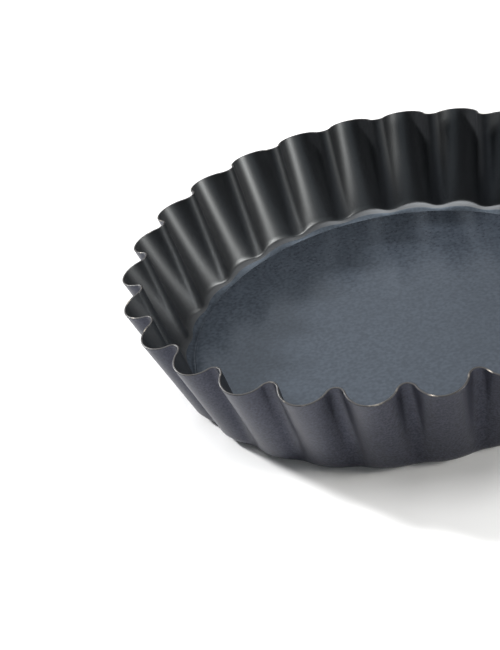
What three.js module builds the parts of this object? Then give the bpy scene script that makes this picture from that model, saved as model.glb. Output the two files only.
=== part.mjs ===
// Fluted tartlet tin with a loose base, in millimetres, +Z up.
// The origin is on the axis of the tin, in the plane that it stands on.
import * as THREE from 'three';

// Driving dimensions of the fluted ring
const FLUTE_COUNT = 26;
const RIM_RADIUS = 50; // crown of a flute, outside, at the rim
const RIM_FLUTE_DEPTH = 3.8; // from the crown in to the groove between two flutes
const RIM_GROOVE_RADIUS = 1.5; // bend of the groove at the rim
const RIM_HEIGHT = 20.5; // rim at the grooves, where it stands highest
const RIM_DIP = 0.95; // how much lower the rim runs at the crowns
const FOOT_RADIUS = 42.9; // crown, where the wall's line meets the ground
const FOOT_FLUTE_DEPTH = 0.8;
const FOOT_GROOVE_RADIUS = 5; // the grooves open out towards the foot
const SHEET_THICKNESS = 0.35;
const LEDGE_WIDTH = 4; // flat ledge inside the bend of the foot
const LEDGE_BEND = 1.8; // least run of the bend, at the grooves
const BEND_RISE = 0.56; // how far the bend reaches up the wall, as a share of its run
const BEND_CREASE = 0.75; // 0 is a smooth round bend, 1 a straight slope with a crease at both ends

// Driving dimensions of the loose base
const BASE_THICKNESS = 0.6;
const BASE_CLEARANCE = 0.3; // between the edge of the base and the bend of the foot
const BASE_EDGE_BREAK = 0.12; // chamfer that takes the burr off the edge

// Fineness of the facets
const CROWN_STEPS = 4; // along half a crown arc
const GROOVE_STEPS = 2; // along half a groove arc
const BEND_STEPS = 3;
const BASE_STEPS = 120;

// Sizes that follow from the driving dimensions
const HALF_PITCH = Math.PI / FLUTE_COUNT;
const HALF_STEPS = CROWN_STEPS + GROOVE_STEPS;
const SEAT_RADIUS = FOOT_RADIUS - FOOT_FLUTE_DEPTH - LEDGE_BEND;
const BASE_RADIUS = SEAT_RADIUS - BASE_CLEARANCE;

// Half a flute in plan, from its crown on the X axis to the middle of the groove beside it:
// a crown arc that runs over, without a corner, into a groove arc bent the other way.
// The crown arc's radius is the one that makes the two arcs touch.
function fluteSection(radius, depth, grooveRadius) {
  const grooveCentre = radius - depth + grooveRadius;
  const across = grooveCentre * Math.cos(HALF_PITCH);
  const crownRadius = (grooveCentre ** 2 - 2 * across * radius + radius ** 2 - grooveRadius ** 2)
    / (2 * (radius + grooveRadius - across));
  const crownCentre = radius - crownRadius;
  const turn = Math.atan2(grooveCentre * Math.sin(HALF_PITCH), across - crownCentre);
  return { crownCentre, crownRadius, grooveCentre, grooveRadius, turn };
}

// A point of half a flute: share runs from 0 on the crown, over 1 where the arcs meet, to 2 in the groove.
function halfFlutePoint(section, share) {
  if (share <= 1) {
    const angle = section.turn * share;
    return new THREE.Vector2(
      section.crownCentre + section.crownRadius * Math.cos(angle),
      section.crownRadius * Math.sin(angle),
    );
  }
  const angle = Math.PI + THREE.MathUtils.lerp(section.turn, HALF_PITCH, share - 1);
  return new THREE.Vector2(
    section.grooveCentre * Math.cos(HALF_PITCH) + section.grooveRadius * Math.cos(angle),
    section.grooveCentre * Math.sin(HALF_PITCH) + section.grooveRadius * Math.sin(angle),
  );
}

// A point of the whole fluted outline. Each flute takes 4 of around: 2 up to its crown and 2 down from it.
function outlinePoint(section, around) {
  const flute = Math.floor((around + 2) / 4);
  const share = around - 4 * flute;
  const point = halfFlutePoint(section, Math.abs(share));
  point.y *= Math.sign(share);
  return point.rotateAround(new THREE.Vector2(), 2 * HALF_PITCH * flute);
}

const RIM = fluteSection(RIM_RADIUS, RIM_FLUTE_DEPTH, RIM_GROOVE_RADIUS);
const FOOT = fluteSection(FOOT_RADIUS, FOOT_FLUTE_DEPTH, FOOT_GROOVE_RADIUS);

// A point of the ring's outer skin. Down the wall, down runs from 0 at the rim to 1 at the top of the bend,
// then to 2 where the bend meets the ground, and to 3 at the inner edge of the ledge.
function outerSkin(around, down) {
  const rim = outlinePoint(RIM, around);
  const foot = outlinePoint(FOOT, around);
  const crown = (rim.length() - RIM_RADIUS + RIM_FLUTE_DEPTH) / RIM_FLUTE_DEPTH;
  const top = new THREE.Vector3(rim.x, rim.y, RIM_HEIGHT - RIM_DIP * crown);
  const corner = new THREE.Vector3(foot.x, foot.y, 0);
  const inward = new THREE.Vector3(-foot.x, -foot.y, 0).normalize();
  const bendRun = foot.length() - SEAT_RADIUS;
  const bendTop = top.clone().sub(corner).normalize().multiplyScalar(bendRun * BEND_RISE).add(corner);
  const bendEnd = corner.clone().addScaledVector(inward, bendRun);
  if (down <= 1) {
    return top.lerp(bendTop, down);
  }
  if (down <= 2) {
    const slopeMiddle = bendTop.clone().lerp(bendEnd, 0.5);
    const pull = corner.clone().lerp(slopeMiddle, BEND_CREASE);
    return new THREE.QuadraticBezierCurve3(bendTop, pull, bendEnd).getPoint(down - 1);
  }
  return bendEnd.addScaledVector(inward, LEDGE_WIDTH * (down - 2));
}

// The skin's outward normal, from its slopes along the outline and down the wall. The ledge's is straight down.
function outwardNormal(around, down) {
  if (down >= 2) {
    return new THREE.Vector3(0, 0, -1);
  }
  const step = 1e-4;
  const along = outerSkin(around + step, down).sub(outerSkin(around - step, down));
  const above = Math.max(down - step, 0);
  const fall = outerSkin(around, above + step).sub(outerSkin(around, above));
  return fall.cross(along).normalize();
}

// Places round the outline where facets meet, from groove to groove over each crown in turn
function fluteStations() {
  const stations = [];
  for (let flute = 0; flute < FLUTE_COUNT; flute += 1) {
    for (let step = -HALF_STEPS; step < HALF_STEPS; step += 1) {
      const size = Math.abs(step);
      const share = size <= CROWN_STEPS ? size / CROWN_STEPS : 1 + (size - CROWN_STEPS) / GROOVE_STEPS;
      stations.push(4 * flute + Math.sign(step) * share);
    }
  }
  return stations;
}

// The ring is the outer skin and an inner skin one sheet thickness inside it, joined along the cut rim
// and along the inner edge of the ledge. Going down the list of rows walks once round the sheet's section.
function fluteRingGeometry() {
  const downs = [0, 1];
  for (let step = 1; step <= BEND_STEPS; step += 1) {
    downs.push(1 + step / BEND_STEPS);
  }
  downs.push(3);
  const stations = fluteStations();
  const positions = [];
  const addRow = (down, depth) => {
    for (const around of stations) {
      const point = outerSkin(around, down);
      point.addScaledVector(outwardNormal(around, down), -depth);
      positions.push(point.x, point.y, point.z);
    }
  };
  downs.forEach((down) => addRow(down, 0));
  downs.toReversed().forEach((down) => addRow(down, SHEET_THICKNESS));
  const columns = stations.length;
  const rows = 2 * downs.length;
  const indices = [];
  for (let row = 0; row < rows; row += 1) {
    for (let column = 0; column < columns; column += 1) {
      const nextRow = (row + 1) % rows;
      const nextColumn = (column + 1) % columns;
      const a = row * columns + column;
      const b = row * columns + nextColumn;
      const c = nextRow * columns + nextColumn;
      const d = nextRow * columns + column;
      indices.push(a, d, b, b, d, c);
    }
  }
  const geometry = new THREE.BufferGeometry();
  geometry.setAttribute('position', new THREE.Float32BufferAttribute(positions, 3));
  geometry.setIndex(indices);
  geometry.computeVertexNormals();
  return geometry;
}

// The base is a turned section: a flat disc with the sharp corners of its edge broken.
function looseBaseGeometry() {
  const inset = BASE_RADIUS - BASE_EDGE_BREAK;
  const section = [
    new THREE.Vector2(0, 0),
    new THREE.Vector2(inset, 0),
    new THREE.Vector2(BASE_RADIUS, BASE_EDGE_BREAK),
    new THREE.Vector2(BASE_RADIUS, BASE_THICKNESS - BASE_EDGE_BREAK),
    new THREE.Vector2(inset, BASE_THICKNESS),
    new THREE.Vector2(0, BASE_THICKNESS),
  ];
  return new THREE.LatheGeometry(section, BASE_STEPS).rotateX(Math.PI / 2);
}

const ringCoat = new THREE.MeshStandardMaterial({ color: 0x4a4b55, roughness: 0.45, metalness: 0.3 });
const baseCoat = new THREE.MeshStandardMaterial({ color: 0x545c64, roughness: 0.6, metalness: 0.2 });

const fluteRing = new THREE.Mesh(fluteRingGeometry(), ringCoat);
fluteRing.name = 'fluted_ring';

const looseBase = new THREE.Mesh(looseBaseGeometry(), baseCoat);
looseBase.name = 'loose_base';
looseBase.position.z = SHEET_THICKNESS;

const tartletTin = new THREE.Group();
tartletTin.add(fluteRing, looseBase);

export default tartletTin;
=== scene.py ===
# %% [markdown]
# A fluted tartlet tin, dressed for its picture
#
# The tin is two pieces of thin steel sheet with a dark non-stick coat: a fluted ring, whose wall
# leans outwards and whose foot turns in to a flat ledge, and a loose flat base that lies on the ledge.
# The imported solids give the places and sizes. This lesson lays a finer surface over each solid, coats
# it, and sets up the table, the lamps and the camera.

import bpy
import numpy as np
from mathutils import Matrix, Vector


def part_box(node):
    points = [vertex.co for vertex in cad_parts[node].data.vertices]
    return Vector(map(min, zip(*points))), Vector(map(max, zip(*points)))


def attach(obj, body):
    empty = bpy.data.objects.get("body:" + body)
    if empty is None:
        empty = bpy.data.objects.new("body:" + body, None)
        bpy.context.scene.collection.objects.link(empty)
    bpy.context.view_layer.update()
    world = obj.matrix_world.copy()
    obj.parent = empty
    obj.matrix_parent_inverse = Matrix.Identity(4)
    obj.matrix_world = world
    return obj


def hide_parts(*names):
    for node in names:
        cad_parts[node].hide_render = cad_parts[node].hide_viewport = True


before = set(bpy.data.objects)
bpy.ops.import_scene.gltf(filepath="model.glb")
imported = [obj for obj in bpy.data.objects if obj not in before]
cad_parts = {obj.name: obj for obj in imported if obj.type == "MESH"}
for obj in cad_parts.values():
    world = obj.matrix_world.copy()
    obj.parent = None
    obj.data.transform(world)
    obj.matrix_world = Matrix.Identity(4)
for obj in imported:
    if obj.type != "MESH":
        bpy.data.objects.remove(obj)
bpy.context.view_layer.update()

RING_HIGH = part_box("fluted_ring")[1]
BASE_LOW, BASE_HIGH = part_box("loose_base")
MM = 0.001


def shown(point):
    """A point's coordinates, short enough to print."""
    return [round(x, 4) for x in point]


# %% [markdown]
# The fluted outline
#
# Seen from above, the wall is a row of round crowns with a tight groove between each two. It could be
# drawn as a sine wave, but a press makes arcs: a crown arc runs over, without a corner, into a groove
# arc bent the other way. Only the groove's radius is chosen, because two arcs that touch leave
# one possible radius for the crown.

# %% One fluted outline as two touching arcs
FLUTES = 26
FLUTE_SPAN = 4
HALF_PITCH = np.pi / FLUTES


def fluted_outline(radius, depth, groove_radius, around):
    """Plan points of a fluted outline. Each flute takes FLUTE_SPAN, 4, of around: -1 to 1 is the crown
    arc, about a centre on the flute's own line, and from there to -2 or 2 is half of the groove arc
    beside it. The crown radius solves |groove centre - crown centre| = crown radius + groove radius."""
    groove_centre = radius - depth + groove_radius
    across = groove_centre * np.cos(HALF_PITCH)
    aside = groove_centre * np.sin(HALF_PITCH)
    crown_radius = (groove_centre**2 - 2 * across * radius + radius**2 - groove_radius**2) / (
        2 * (radius + groove_radius - across)
    )
    crown_centre = radius - crown_radius
    turn = np.arctan2(aside, across - crown_centre)
    flute = np.floor((around + FLUTE_SPAN / 2) / FLUTE_SPAN)
    share = around - FLUTE_SPAN * flute
    size = np.abs(share)
    on_crown = size <= 1
    crown_angle = turn * np.minimum(size, 1)
    groove_angle = np.pi + turn + (HALF_PITCH - turn) * np.clip(size - 1, 0, 1)
    x = np.where(on_crown, crown_centre + crown_radius * np.cos(crown_angle),
                 across + groove_radius * np.cos(groove_angle))
    y = np.where(on_crown, crown_radius * np.sin(crown_angle),
                 aside + groove_radius * np.sin(groove_angle))
    y = y * np.sign(share)
    angle = 2 * HALF_PITCH * flute
    return np.stack([x * np.cos(angle) - y * np.sin(angle),
                     x * np.sin(angle) + y * np.cos(angle)], axis=-1)


print("flutes:", FLUTES, "of", round(360 / FLUTES, 2), "degrees each")

# %% [markdown]
# The sheet's outer skin
#
# Each straight line down the wall joins a point of the deep outline at the rim to the same point of
# the shallow outline at the foot. There the sheet slopes in until it lies flat, with a soft crease at
# the top and at the bottom of the slope. The slope ends on one circle all round, so it is wider under
# the crowns. The skin could be lofted between two drawn curves. A formula gives the same skin at any
# fineness, and the way round and the way down it can be used again for edges and finishes.

# %% Sizes of the rim and of the foot
RIM_RADIUS = RING_HIGH.x
RIM_DEPTH = 3.8 * MM
RIM_GROOVE = 1.5 * MM
RIM_HEIGHT = 20.5 * MM
RIM_DIP = 0.95 * MM
FOOT_RADIUS = 42.9 * MM
FOOT_DEPTH = 0.8 * MM
FOOT_GROOVE = 5 * MM
BASE_CLEARANCE = 0.3 * MM
SEAT_RADIUS = BASE_HIGH.x + BASE_CLEARANCE
BEND_RISE = 0.56
FOOT_CREASE = 0.75
LEDGE_WIDTH = 4 * MM
print("radius in mm: rim", round(RIM_RADIUS / MM, 2), "and seat of the base", round(SEAT_RADIUS / MM, 2))

# %% The cut of the rim is not quite even
RIM_WOBBLE = 0.05 * MM
RIM_WAVES = ((3, 0.6), (11, 2.1), (29, 4.0))


def way_round(around):
    """around as an angle, a whole turn for all the flutes."""
    return around * 2 * np.pi / (FLUTE_SPAN * FLUTES)


def rim_wobble(around):
    """RIM_WOBBLE times the mean of a few sine waves round the rim, each with its count and its phase."""
    way = way_round(around)
    return RIM_WOBBLE * sum(np.sin(count * way + phase) for count, phase in RIM_WAVES) / len(RIM_WAVES)


# %% The skin as a function of the way round and the way down
def stack(plan, height):
    """Plan points and heights as points in space."""
    return np.concatenate([plan, np.broadcast_to(height, plan.shape[:-1])[..., None]], axis=-1)


def unit(vectors):
    """Vectors divided by their own lengths."""
    return vectors / np.linalg.norm(vectors, axis=-1, keepdims=True)


def outer_skin(around, down):
    """Points of the skin. down runs from 0 at the rim along a straight line to 1, then along a parabola
    to 2, then along the flat ledge to 3. The parabola's control point is the corner where the wall's line
    meets the ground, moved by FOOT_CREASE towards the middle of the chord."""
    around, down = np.broadcast_arrays(around, down)
    rim = fluted_outline(RIM_RADIUS, RIM_DEPTH, RIM_GROOVE, around)
    foot = fluted_outline(FOOT_RADIUS, FOOT_DEPTH, FOOT_GROOVE, around)
    crown = (np.linalg.norm(rim, axis=-1) - RIM_RADIUS + RIM_DEPTH) / RIM_DEPTH
    top = stack(rim, RIM_HEIGHT - RIM_WOBBLE - RIM_DIP * crown + rim_wobble(around))
    corner = stack(foot, 0.0)
    inward = stack(-unit(foot), 0.0)
    run = np.linalg.norm(foot, axis=-1, keepdims=True) - SEAT_RADIUS
    bend_top = corner + unit(top - corner) * run * BEND_RISE
    bend_end = corner + inward * run
    control = corner * (1 - FOOT_CREASE) + (bend_top + bend_end) / 2 * FOOT_CREASE
    wall = np.clip(down, 0, 1)[..., None]
    bend = np.clip(down - 1, 0, 1)[..., None]
    ledge = np.clip(down - 2, 0, 1)[..., None]
    on_wall = top * (1 - wall) + bend_top * wall
    on_bend = bend_top * (1 - bend) ** 2 + 2 * bend * (1 - bend) * control + bend_end * bend**2
    on_ledge = bend_end + inward * LEDGE_WIDTH * ledge
    return np.where(down[..., None] <= 1, on_wall, np.where(down[..., None] <= 2, on_bend, on_ledge))


print("a crown at the rim is at", shown(outer_skin(np.array(0.0), np.array(0.0)).tolist()))

# %% [markdown]
# Which way is out, and how even the pressing is
#
# The sheet's thickness is laid off along the skin's normal, so the normal has to be known at each point.
# Blender could work it out from the faces, but the formula gives it more exactly. A real pressing is
# never perfect: the wall also swells and sinks by a few hundredths of a millimetre. A Displace modifier
# with a noise could do that, and a few sine waves do it here, because they close round the ring.

# %% The skin's normal and its unevenness
SLOPE_STEP = 1e-4
STRAIGHT_DOWN = [0.0, 0.0, -1.0]
PRESS_SWELL = 0.035 * MM
PRESS_WAVES = ((7, 3, 0.3), (17, -5, 1.9), (31, 4, 4.4))
SWELL_END = 1.6


def outward(around, down):
    """The skin's unit normal: the slope down the wall crossed with the slope round it. The ledge's is
    straight down."""
    along = outer_skin(around + SLOPE_STEP, down) - outer_skin(around - SLOPE_STEP, down)
    above = np.maximum(down - SLOPE_STEP, 0)
    fall = outer_skin(around, above + SLOPE_STEP) - outer_skin(around, above)
    return np.where(down[..., None] >= 2, STRAIGHT_DOWN, unit(np.cross(fall, along)))


def swell(around, down):
    """PRESS_SWELL times the mean of a few sine waves, each with its count round, its turn down the wall
    and its phase. It fades out in the bend, so that the ledge stays flat."""
    way = way_round(around)
    waves = sum(np.sin(count * way + lean * down + phase) for count, lean, phase in PRESS_WAVES)
    return PRESS_SWELL * (waves / len(PRESS_WAVES)) * np.clip(SWELL_END - down, 0, 1)


# %% [markdown]
# From a skin to a closed sheet
#
# A Solidify modifier could give the sheet its thickness. Here the section is walked once round instead:
# up the outer skin, over the cut rim, down the inner skin and round the edge of the ledge. Then the cut
# edges can have their own rows, slightly rounded as shears leave them, and their own bare metal. Points
# and faces are whole arrays, which a mesh takes in at once.

# %% Faces between the points of a grid
def grid_quads(rows, columns, rows_close=False, columns_close=True):
    """Corners of the quads between neighbouring points of a grid. A way that closes joins its end to its
    start."""
    row = np.arange(rows if rows_close else rows - 1)[:, None]
    column = np.arange(columns if columns_close else columns - 1)[None, :]
    next_row = (row + 1) % rows
    next_column = (column + 1) % columns
    corners = np.broadcast_arrays(row * columns + column, row * columns + next_column,
                                  next_row * columns + next_column, next_row * columns + column)
    return np.stack(corners, axis=-1).reshape(-1, 4)


def pole_fan(first, columns, pole, upwards):
    """Triangles that close a ring of points, from number first on, with one point in its middle."""
    here = np.arange(columns)
    fan = np.stack([first + here, first + (here + 1) % columns, np.full(columns, pole)], axis=-1)
    return fan if upwards else fan[:, ::-1]


# %% From points and faces to an object
def new_piece(name, points, faces, materials, finishes=None):
    """An object at the origin, smooth shaded, whose place is in its mesh. finishes has the number of a
    material for each face."""
    mesh = bpy.data.meshes.new(name)
    mesh.from_pydata(points.reshape(-1, 3), [], faces)
    for material in materials:
        mesh.materials.append(material)
    if finishes is not None:
        mesh.polygons.foreach_set("material_index", finishes.astype(np.int32))
    mesh.polygons.foreach_set("use_smooth", np.ones(len(mesh.polygons), bool))
    mesh.update()
    piece = bpy.data.objects.new(name, mesh)
    bpy.context.scene.collection.objects.link(piece)
    return piece


def volume_mm3(piece):
    """Volume by the divergence theorem, in cubic millimetres: positive when the faces point outwards."""
    mesh = piece.data
    mesh.calc_loop_triangles()
    places = np.empty(len(mesh.vertices) * 3)
    mesh.vertices.foreach_get("co", places)
    corners = np.empty(len(mesh.loop_triangles) * 3, np.int32)
    mesh.loop_triangles.foreach_get("vertices", corners)
    a, b, c = places.reshape(-1, 3)[corners.reshape(-1, 3)].transpose(1, 0, 2)
    return round(float(np.einsum("ij,ij->", a, np.cross(b, c)) / 6) / MM**3)


# %% [markdown]
# The coats
#
# Non-stick coat is sprayed on and baked: a dark, slightly glossy resin with a fine grain and tiny
# lighter flakes. A single colour would look like plastic, and a painted image would need a map of the
# surface, so fine noise varies the colour, the roughness and, as a bump, the surface. All patterns
# read object coordinates, in metres, so their scale is the real one and they ride with the piece.

# %% Node helpers
def add_node(tree, kind, settings=None, **inputs):
    """A node with its settings and the inputs that stay constant or are linked."""
    node = tree.nodes.new(kind)
    for key, value in (settings or {}).items():
        setattr(node, key, value)
    for key, value in inputs.items():
        socket = node.inputs[key.replace("_", " ")]
        if isinstance(value, bpy.types.NodeSocket):
            tree.links.new(value, socket)
        else:
            socket.default_value = value
    return node


def add_noise(tree, grain, detail=2.0, roughness=0.5):
    """Noise whose features are about grain metres across, in object coordinates."""
    place = tree.nodes.get("place")
    if place is None:
        place = add_node(tree, "ShaderNodeTexCoord", {"name": "place"})
    return add_node(tree, "ShaderNodeTexNoise", Vector=place.outputs["Object"], Scale=1 / grain,
                    Detail=detail, Roughness=roughness).outputs["Fac"]


def add_range(tree, value, low, high, to_low, to_high):
    """value mapped from low..high to to_low..to_high and held there."""
    return add_node(tree, "ShaderNodeMapRange", Value=value, From_Min=low, From_Max=high,
                    To_Min=to_low, To_Max=to_high).outputs["Result"]


# %% Colour mixes and new materials
# The Mix node has sockets of the same name for numbers and for colours, so these go by their places.
MIX_SHARE = 0
MIX_FIRST = 6
MIX_SECOND = 7
MIX_RESULT = 2


def add_mix(tree, share, first, second):
    """Two colours mixed by a share from 0 to 1."""
    node = add_node(tree, "ShaderNodeMix", {"data_type": "RGBA"})
    for place, value in ((MIX_SHARE, share), (MIX_FIRST, first), (MIX_SECOND, second)):
        if isinstance(value, bpy.types.NodeSocket):
            tree.links.new(value, node.inputs[place])
        else:
            node.inputs[place].default_value = value
    return node.outputs[MIX_RESULT]


def new_material(name):
    """A material whose tree has a Principled shader; returns the material, its tree and the shader."""
    material = bpy.data.materials.new(name)
    material.use_nodes = True
    return material, material.node_tree, material.node_tree.nodes["Principled BSDF"]


# %% Sprayed coat
NOISE_LOW = 0.3
NOISE_HIGH = 0.7
GRAIN_ROUGHNESS = 0.6
GLOSS_SWING = 0.02
CLOUD_SIZE = 9 * MM
CLOUD_SHARE = 0.25


def sprayed_coat(name, dark, light, grain_size, detail, roughness, relief, ior, tint):
    """Dark resin with lighter grain: colour, roughness and bump follow one fine noise, and a coarse one
    darkens the colour in clouds."""
    material, tree, shader = new_material(name)
    grain = add_noise(tree, grain_size, detail=detail, roughness=GRAIN_ROUGHNESS)
    cloud = add_noise(tree, CLOUD_SIZE)
    flakes = add_range(tree, grain, NOISE_LOW, NOISE_HIGH, 0.0, 1.0)
    shade = add_range(tree, cloud, NOISE_LOW, NOISE_HIGH, 0.0, CLOUD_SHARE)
    gloss = add_range(tree, grain, NOISE_LOW, NOISE_HIGH, roughness - GLOSS_SWING, roughness + GLOSS_SWING)
    spray = add_mix(tree, flakes, (*dark, 1), (*light, 1))
    colour = add_mix(tree, shade, spray, (*dark, 1))
    bump = add_node(tree, "ShaderNodeBump", Strength=1.0, Distance=relief, Height=grain)
    tree.links.new(colour, shader.inputs["Base Color"])
    tree.links.new(gloss, shader.inputs["Roughness"])
    tree.links.new(bump.outputs["Normal"], shader.inputs["Normal"])
    shader.inputs["IOR"].default_value = ior
    shader.inputs["Specular Tint"].default_value = (*tint, 1)
    return material


# %% The coats of the outside, the inside and the base
OUTER_COAT = sprayed_coat("outside_coat", dark=(0.000, 0.000, 0.000), light=(0.038, 0.039, 0.053),
                          grain_size=0.38 * MM, detail=2.0, roughness=0.42, relief=0.032 * MM,
                          ior=1.51, tint=(0.64, 0.69, 0.96))
INNER_COAT = sprayed_coat("inside_coat", dark=(0.002, 0.002, 0.003), light=(0.009, 0.010, 0.012),
                          grain_size=0.35 * MM, detail=3.0, roughness=0.41, relief=0.006 * MM,
                          ior=1.95, tint=(0.92, 0.96, 1.0))
BASE_COAT = sprayed_coat("disc_coat", dark=(0.028, 0.034, 0.044), light=(0.047, 0.057, 0.072),
                         grain_size=0.6 * MM, detail=0.5, roughness=0.24, relief=0.001 * MM,
                         ior=1.64, tint=(0.68, 0.83, 1.0))
OUTER_SHADER = OUTER_COAT.node_tree.nodes["Principled BSDF"]
OUTER_SHADER.inputs["Coat Weight"].default_value = 0.15
OUTER_SHADER.inputs["Coat Roughness"].default_value = 0.22
OUTER_SHADER.inputs["Coat IOR"].default_value = 1.33
print("coats:", OUTER_COAT.name, INNER_COAT.name, BASE_COAT.name)

# %% [markdown]
# The cut rim
#
# The rim is not rolled: the sheet is sheared off, so a thin line of bare steel shows, mostly smeared
# over by the coat. It is the only metal in sight, and its glints are what makes the sheet read as thin.
# A thin wire laid along the rim could show it, but a finish on the rim's own faces can't come away from
# the sheet. One noise, a few millimetres long, bares the steel in short lengths.

# %% Bare cut steel
SMEAR_LENGTH = 2.5 * MM
BARE_FROM = 0.59
BARE_FULL = 0.70
SMEARED_COLOUR = (0.030, 0.028, 0.028, 1)
STEEL_COLOUR = (0.34, 0.31, 0.27, 1)
STEEL_METAL = 0.9
SMEARED_ROUGHNESS = 0.42
STEEL_ROUGHNESS = 0.26


def cut_steel(name):
    """Coat smeared over a cut edge, with bare steel showing through in short lengths."""
    material, tree, shader = new_material(name)
    smear = add_noise(tree, SMEAR_LENGTH, detail=3.0)
    bare = add_range(tree, smear, BARE_FROM, BARE_FULL, 0.0, 1.0)
    metal = add_range(tree, smear, BARE_FROM, BARE_FULL, 0.0, STEEL_METAL)
    gloss = add_range(tree, smear, BARE_FROM, BARE_FULL, SMEARED_ROUGHNESS, STEEL_ROUGHNESS)
    tree.links.new(add_mix(tree, bare, SMEARED_COLOUR, STEEL_COLOUR), shader.inputs["Base Color"])
    tree.links.new(metal, shader.inputs["Metallic"])
    tree.links.new(gloss, shader.inputs["Roughness"])
    return material


CUT_STEEL = cut_steel("cut_steel")
print("cut edge:", CUT_STEEL.name, "with", len(CUT_STEEL.node_tree.nodes), "nodes")

# %% [markdown]
# The fluted ring
#
# The ring is the whole wall of the tin. It could be a cylinder with pushed-in grooves, but then the
# columns would not follow the arcs. Here they are spaced evenly along each arc, and the rows are closer
# at the creases and beside the cut edges, so that smooth shading does not bleed over them. The two cut
# edges are short rows across the sheet that bulge a little along it. One finish for each row of faces
# gives the outside, the inside and the cut edges their own coat. The lower half of the foot's slope and
# the ledge have the coat of the base.

# %% Columns and rows of the ring
CROWN_COLUMNS = 13
GROOVE_COLUMNS = 7
WALL_ROWS = 18
BEND_ROWS = 10
LEDGE_ROWS = 3
EDGE_ROW = 0.006
CREASE_ABOVE = 0.02
CREASE_BELOW = 0.10
EDGE_STEPS = np.array([0.05, 0.16, 0.33, 0.5, 0.67, 0.84, 0.95])
EDGE_BULGE = 0.08 * MM
BULGE_POWER = 2.5
FOOT_COAT_FROM = 1.5
RING_COATS = [OUTER_COAT, INNER_COAT, CUT_STEEL, BASE_COAT]
OUTSIDE, INSIDE, CUT, FOOT = range(len(RING_COATS))


def flute_columns():
    """Values of around for every column: even steps over each crown and through each groove."""
    crown = np.linspace(-1, 1, 2 * CROWN_COLUMNS, endpoint=False)
    groove = np.linspace(1, 3, 2 * GROOVE_COLUMNS, endpoint=False)
    return (FLUTE_SPAN * np.arange(FLUTES)[:, None] + np.concatenate([crown, groove])).ravel()


def skin_rows():
    """Values of down from the rim to the edge of the ledge, with close rows at the edges and the creases."""
    wall = np.linspace(0, 1, WALL_ROWS, endpoint=False)[1:]
    bend = 1 + np.linspace(CREASE_BELOW, 1, BEND_ROWS)
    ledge = np.linspace(2, 3, LEDGE_ROWS + 1)[1:-1]
    return np.concatenate([[0, EDGE_ROW], wall, [1 - CREASE_ABOVE], bend, ledge, [3 - EDGE_ROW, 3]])


def ring_rows():
    """(down, share of the sheet's thickness, bulge along the sheet) for each row, once round the section,
    and the finish of the faces after it. The bulge is 1 - |2 share - 1| to the BULGE_POWER."""
    skin = skin_rows()
    none = np.zeros_like(skin)
    bulge = EDGE_BULGE * (1 - np.abs(2 * EDGE_STEPS - 1) ** BULGE_POWER)
    down = np.concatenate([skin[::-1], np.zeros_like(EDGE_STEPS), skin, np.full_like(EDGE_STEPS, 3)])
    depth = np.concatenate([none, EDGE_STEPS, np.ones_like(skin), EDGE_STEPS[::-1]])
    rise = np.concatenate([none, bulge, none, bulge])
    outside = np.full(len(skin) - 1, OUTSIDE)
    inside = np.where(skin[1:] > FOOT_COAT_FROM, FOOT, INSIDE)
    edge = np.full(len(EDGE_STEPS) + 1, CUT)
    finish = np.concatenate([outside, edge, inside, edge])
    return down[:, None], depth[:, None], rise[:, None], finish


print("ring grid:", len(ring_rows()[0]), "rows of", len(flute_columns()), "columns")

# %% Build the ring
SHEET = BASE_LOW.z
LEAN_STEP = 1e-3
WALL_SIDE = 1.5


def build_ring():
    """Skin point less depth times the normal, plus the swell of the pressing and the bulge of the edges,
    which runs up the wall at the rim and along the ledge at its edge. All rows at the rim are first
    lowered by the whole bulge, so the rim keeps its height."""
    around = flute_columns()[None, :]
    down, depth, rise, finish = ring_rows()
    points = outer_skin(around, down)
    points = points + outward(around, down) * (swell(around, down) - depth * SHEET)[..., None]
    rim = np.zeros_like(down)
    ledge_edge = np.full_like(down, 3)
    up_wall = unit(outer_skin(around, rim) - outer_skin(around, rim + LEAN_STEP))
    along_ledge = unit(outer_skin(around, ledge_edge) - outer_skin(around, ledge_edge - LEAN_STEP))
    way = np.where(down[..., None] < WALL_SIDE, up_wall, along_ledge)
    points = points + way * (rise[..., None] - EDGE_BULGE * (down[..., None] == 0))
    quads = grid_quads(*points.shape[:2], rows_close=True)
    return new_piece("ring_sheet", points, quads, RING_COATS, np.repeat(finish, points.shape[1]))


ring = build_ring()
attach(ring, "ring")
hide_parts("fluted_ring")
print("ring:", len(ring.data.polygons), "faces, volume", volume_mm3(ring), "mm3")

# %% [markdown]
# The loose base
#
# A disc stamped from a slightly thicker sheet, with its sharp edge broken. It could be a cylinder with
# a Bevel modifier, but that has no points across its face, and a stamped disc is never quite flat: it
# bellies by a few hundredths of a millimetre, which softens the reflection of the wall behind it. So it
# is a polar grid, closed by one point in the middle of each face.

# %% Build the base
BASE_RADIUS = BASE_HIGH.x
BASE_COLUMNS = 240
FACE_CIRCLES = 34
EDGE_CIRCLES = 13
EDGE_ROUND = 0.15 * MM
BASE_BELLY = 0.03 * MM
BELLY_WAVES = ((2, 0.8), (3, -0.5))


def belly(share, angle):
    """BASE_BELLY (1 - share^2) times the sum of share^n cos(n angle + phase): nothing in the middle and
    at the edge."""
    waves = sum(np.cos(count * angle + phase) * share**count for count, phase in BELLY_WAVES)
    return BASE_BELLY * (1 - share**2) * waves


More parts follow.
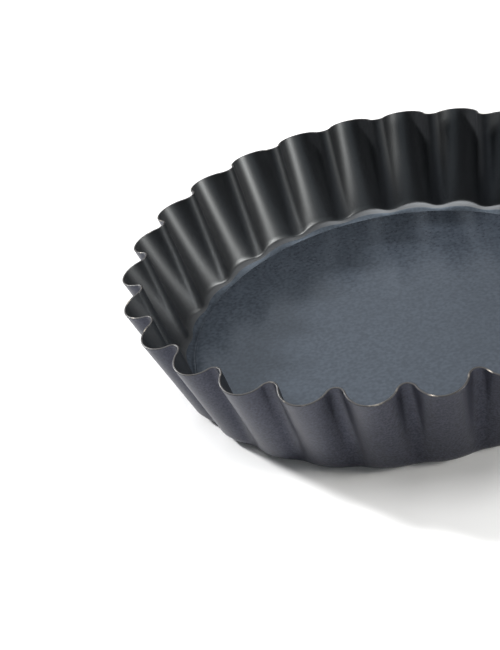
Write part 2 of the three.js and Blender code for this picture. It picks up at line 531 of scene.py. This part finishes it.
def build_base():
    """Circles of points from the middle of the underside, round the edge, to the middle of the top."""
    angle = np.linspace(0, 2 * np.pi, BASE_COLUMNS, endpoint=False)[None, :]
    thick = BASE_HIGH.z - BASE_LOW.z
    flat = (BASE_RADIUS - EDGE_ROUND) * np.linspace(0, 1, FACE_CIRCLES)[1:]
    turn = np.linspace(-np.pi / 2, np.pi / 2, EDGE_CIRCLES)[1:-1]
    edge_radius = BASE_RADIUS - EDGE_ROUND * (1 - np.cos(turn))
    edge_height = np.sign(turn) * (thick / 2 - EDGE_ROUND) + EDGE_ROUND * np.sin(turn)
    face_height = np.full(len(flat), thick / 2)
    radius = np.concatenate([flat, edge_radius, flat[::-1]])[:, None]
    height = np.concatenate([-face_height, edge_height, face_height])[:, None]
    z = BASE_LOW.z + thick / 2 + height + belly(radius / BASE_RADIUS, angle)
    points = np.stack(np.broadcast_arrays(radius * np.cos(angle), radius * np.sin(angle), z), axis=-1)
    rows, columns = points.shape[:2]
    count = rows * columns
    middles = np.array([[0, 0, BASE_LOW.z], [0, 0, BASE_HIGH.z]])
    faces = (grid_quads(rows, columns).tolist() + pole_fan(0, columns, count, False).tolist()
             + pole_fan(count - columns, columns, count + 1, True).tolist())
    return new_piece("base_disc", np.concatenate([points.reshape(-1, 3), middles]), faces, [BASE_COAT])


base = build_base()
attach(base, "base")
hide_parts("loose_base")
print("base:", len(base.data.polygons), "faces, volume", volume_mm3(base), "mm3")

# %% [markdown]
# The table and the white room
#
# The tin stands on a white table in a white room. A bent backdrop could close the view, but the camera
# looks down, so a flat floor fills its picture. The floor is lit like everything else, so it keeps the
# shadow, and for the camera and for reflections it glows a little, which brings it to white. The room
# shows white in reflections and in low views, but as light it is very dim, so the lamps shape the tin.

# %% White floor
FLOOR_WHITE = 0.92
FLOOR_GLOW = 0.03
FLOOR_REACH = 0.7
FLOOR_DROP = 0.05 * MM


def seen_directly(tree):
    """1 for rays from the camera or a reflection, and 0 for rays that carry light."""
    path = tree.nodes.new("ShaderNodeLightPath")
    either = add_node(tree, "ShaderNodeMath", {"operation": "MAXIMUM"})
    tree.links.new(path.outputs["Is Camera Ray"], either.inputs[0])
    tree.links.new(path.outputs["Is Glossy Ray"], either.inputs[1])
    any_of = add_node(tree, "ShaderNodeMath", {"operation": "MAXIMUM"})
    tree.links.new(either.outputs[0], any_of.inputs[0])
    tree.links.new(path.outputs["Is Transmission Ray"], any_of.inputs[1])
    return any_of.outputs[0]


def build_floor():
    """A square floor just under the tin: matt white, plus a glow for direct sight."""
    material, tree, shader = new_material("white_floor")
    tree.nodes.remove(shader)
    matt = add_node(tree, "ShaderNodeBsdfDiffuse", Color=(FLOOR_WHITE, FLOOR_WHITE, FLOOR_WHITE, 1))
    level = add_range(tree, seen_directly(tree), 0, 1, 0, FLOOR_GLOW)
    glow = add_node(tree, "ShaderNodeEmission", Strength=level)
    both = tree.nodes.new("ShaderNodeAddShader")
    tree.links.new(matt.outputs[0], both.inputs[0])
    tree.links.new(glow.outputs[0], both.inputs[1])
    tree.links.new(both.outputs[0], tree.nodes["Material Output"].inputs["Surface"])
    side = np.array([-FLOOR_REACH, FLOOR_REACH])
    points = np.stack(np.broadcast_arrays(side[None, :], side[:, None], -FLOOR_DROP), axis=-1)
    return new_piece("floor", points, grid_quads(2, 2, columns_close=False), [material])


build_floor()
print("floor:", 2 * FLOOR_REACH, "m square")

# %% White room
FILL = 0.03
world = bpy.data.worlds.new("white_room")
world.use_nodes = True
room = world.node_tree
room_level = add_range(room, seen_directly(room), 0, 1, FILL, 1.0)
room.nodes["Background"].inputs["Color"].default_value = (1, 1, 1, 1)
room.links.new(room_level, room.nodes["Background"].inputs["Strength"])
bpy.context.scene.world = world
print("room: white when seen directly, and", FILL, "as light")

# %% [markdown]
# The lamps and the dark cards
#
# A dark glossy coat shows what stands round it, so the lamps are placed by their reflections. A small key
# lamp at the back left throws the shadow to the front right. A broad lamp overhead and a wide one at the
# back light the foot and the base, a warm one low on the right draws a streak down each flute, and a dim
# cool one fills in from the front. One picture of a studio round the world could do the same, but lamps
# can be moved one by one. Dark cards all round keep the rest of the coat dark, as on a set for dark gloss,
# and dip at the back to let the white room in. The camera sees neither the lamps nor the cards.

# %% Lamps
LAMP_DISTANCE = 1.0


def lamp_side(degrees):
    """Side of a lamp that looks this many degrees wide from the tin."""
    return 2 * LAMP_DISTANCE * np.tan(np.radians(degrees / 2))


def soft_lamp(name, azimuth, elevation, wide, high, radiance, colour=(1, 1, 1)):
    """A lamp that faces the tin and looks wide by high degrees from it. Its power is radiance times pi
    times area."""
    lamp = bpy.data.lights.new(name, "AREA")
    lamp.shape = "RECTANGLE"
    lamp.size = lamp_side(wide)
    lamp.size_y = lamp_side(high)
    lamp.energy = radiance * np.pi * lamp.size * lamp.size_y
    lamp.color = colour
    turn = np.radians(azimuth)
    climb = np.radians(elevation)
    way = Vector((np.cos(turn) * np.cos(climb), np.sin(turn) * np.cos(climb), np.sin(climb)))
    holder = bpy.data.objects.new(name, lamp)
    holder.location = way * LAMP_DISTANCE
    holder.rotation_euler = way.to_track_quat("Z", "Y").to_euler()
    holder.visible_camera = False
    bpy.context.scene.collection.objects.link(holder)
    print(name, "of", round(lamp.energy, 2), "W")


soft_lamp("key_lamp", azimuth=151, elevation=33, wide=5, high=7, radiance=375)
soft_lamp("top_lamp", azimuth=180, elevation=75, wide=28, high=32, radiance=5.8)
soft_lamp("right_lamp", azimuth=-21, elevation=22, wide=19, high=17, radiance=24, colour=(1.0, 0.98, 0.93))
soft_lamp("back_lamp", azimuth=76, elevation=61, wide=60, high=15, radiance=2.5)
soft_lamp("front_lamp", azimuth=-68, elevation=25, wide=46, high=26, radiance=0.6, colour=(0.85, 0.95, 1.0))

# %% Dark cards
CARD_DISTANCE = 1.3
CARD_GREY = 0.02
CARD_COLUMNS = 72
CARD_FOOT = 0.005
CARD_TOP = 68
CARD_DIP = 39
DIP_AZIMUTH = 93
DIP_WIDTH = 29


def build_cards():
    """A ring of card round the set. Seen from the tin, its top is CARD_TOP degrees up, less CARD_DIP times
    the bell curve exp(-aside^2), where aside is the way from DIP_AZIMUTH in DIP_WIDTHs."""
    material, _, shader = new_material("dark_card")
    shader.inputs["Base Color"].default_value = (CARD_GREY, CARD_GREY, CARD_GREY, 1)
    shader.inputs["Roughness"].default_value = 1.0
    azimuth = np.linspace(0, 2 * np.pi, CARD_COLUMNS, endpoint=False)
    aside = (np.degrees(azimuth) - DIP_AZIMUTH) / DIP_WIDTH
    top = np.radians(CARD_TOP - CARD_DIP * np.exp(-aside**2))
    height = np.stack([np.full_like(azimuth, CARD_FOOT), CARD_DISTANCE * np.tan(top)])
    x = CARD_DISTANCE * np.cos(azimuth)
    y = CARD_DISTANCE * np.sin(azimuth)
    points = np.stack(np.broadcast_arrays(x, y, height), axis=-1)
    cards = new_piece("dark_cards", points, grid_quads(2, CARD_COLUMNS), [material])
    cards.visible_camera = False
    return cards


build_cards()
print("cards:", CARD_TOP, "degrees high, and", CARD_TOP - CARD_DIP, "at the back")

# %% [markdown]
# The camera
#
# The camera stands in front of the tin and looks down at it from about thirty degrees. It aims to the
# right of the axis and is a little tilted, so the tin runs out of the picture. It could be set by eye or
# with a Track To constraint. Here its three axes are turned step by step through measured angles, which
# keeps each angle apart and leaves the lens without any shift.

# %% Camera
EYE_DISTANCE = 0.27637
EYE_ELEVATION = np.radians(30.68)
EYE_AZIMUTH = np.radians(-88.593)
PAN = -0.1001
TILT = 0.0449
ROLL = np.radians(-9.55)
FOCAL_PIXELS = 1516.8
IMAGE_HEIGHT = 650
SENSOR = 36
NEAREST = 0.01


def turned(first, second, angle):
    """Two axes at right angles, turned in their own plane by an angle."""
    return first * np.cos(angle) - second * np.sin(angle), first * np.sin(angle) + second * np.cos(angle)


aim = np.array([0, 0, RIM_HEIGHT])
back = np.array([np.cos(EYE_AZIMUTH) * np.cos(EYE_ELEVATION), np.sin(EYE_AZIMUTH) * np.cos(EYE_ELEVATION),
                 np.sin(EYE_ELEVATION)])
right = unit(np.cross(-back, [0, 0, 1]))
down_image = np.cross(-back, right)
right, forward = turned(right, -back, PAN)
down_image, forward = turned(down_image, forward, TILT)
right, down_image = turned(right, down_image, ROLL)
axes = np.eye(4)
axes[:3, 0] = right
axes[:3, 1] = -down_image
axes[:3, 2] = -forward
axes[:3, 3] = aim + back * EYE_DISTANCE

camera = bpy.data.objects.new("camera", bpy.data.cameras.new("camera"))
camera.data.sensor_width = SENSOR
camera.data.lens = FOCAL_PIXELS * SENSOR / IMAGE_HEIGHT
camera.data.clip_start = NEAREST
camera.matrix_world = Matrix(axes.tolist())
bpy.context.scene.collection.objects.link(camera)
bpy.context.scene.camera = camera
bpy.context.scene.view_settings.view_transform = "Standard"
print("camera at", shown(axes[:3, 3].tolist()), "lens", round(camera.data.lens, 2), "mm")

# %% [markdown]
# Finish
#
# The finer surfaces have to fill the same space as the solids that they stand for. Here the view layer is
# brought up to date.

# %% Bring the view layer up to date
bpy.context.view_layer.update()
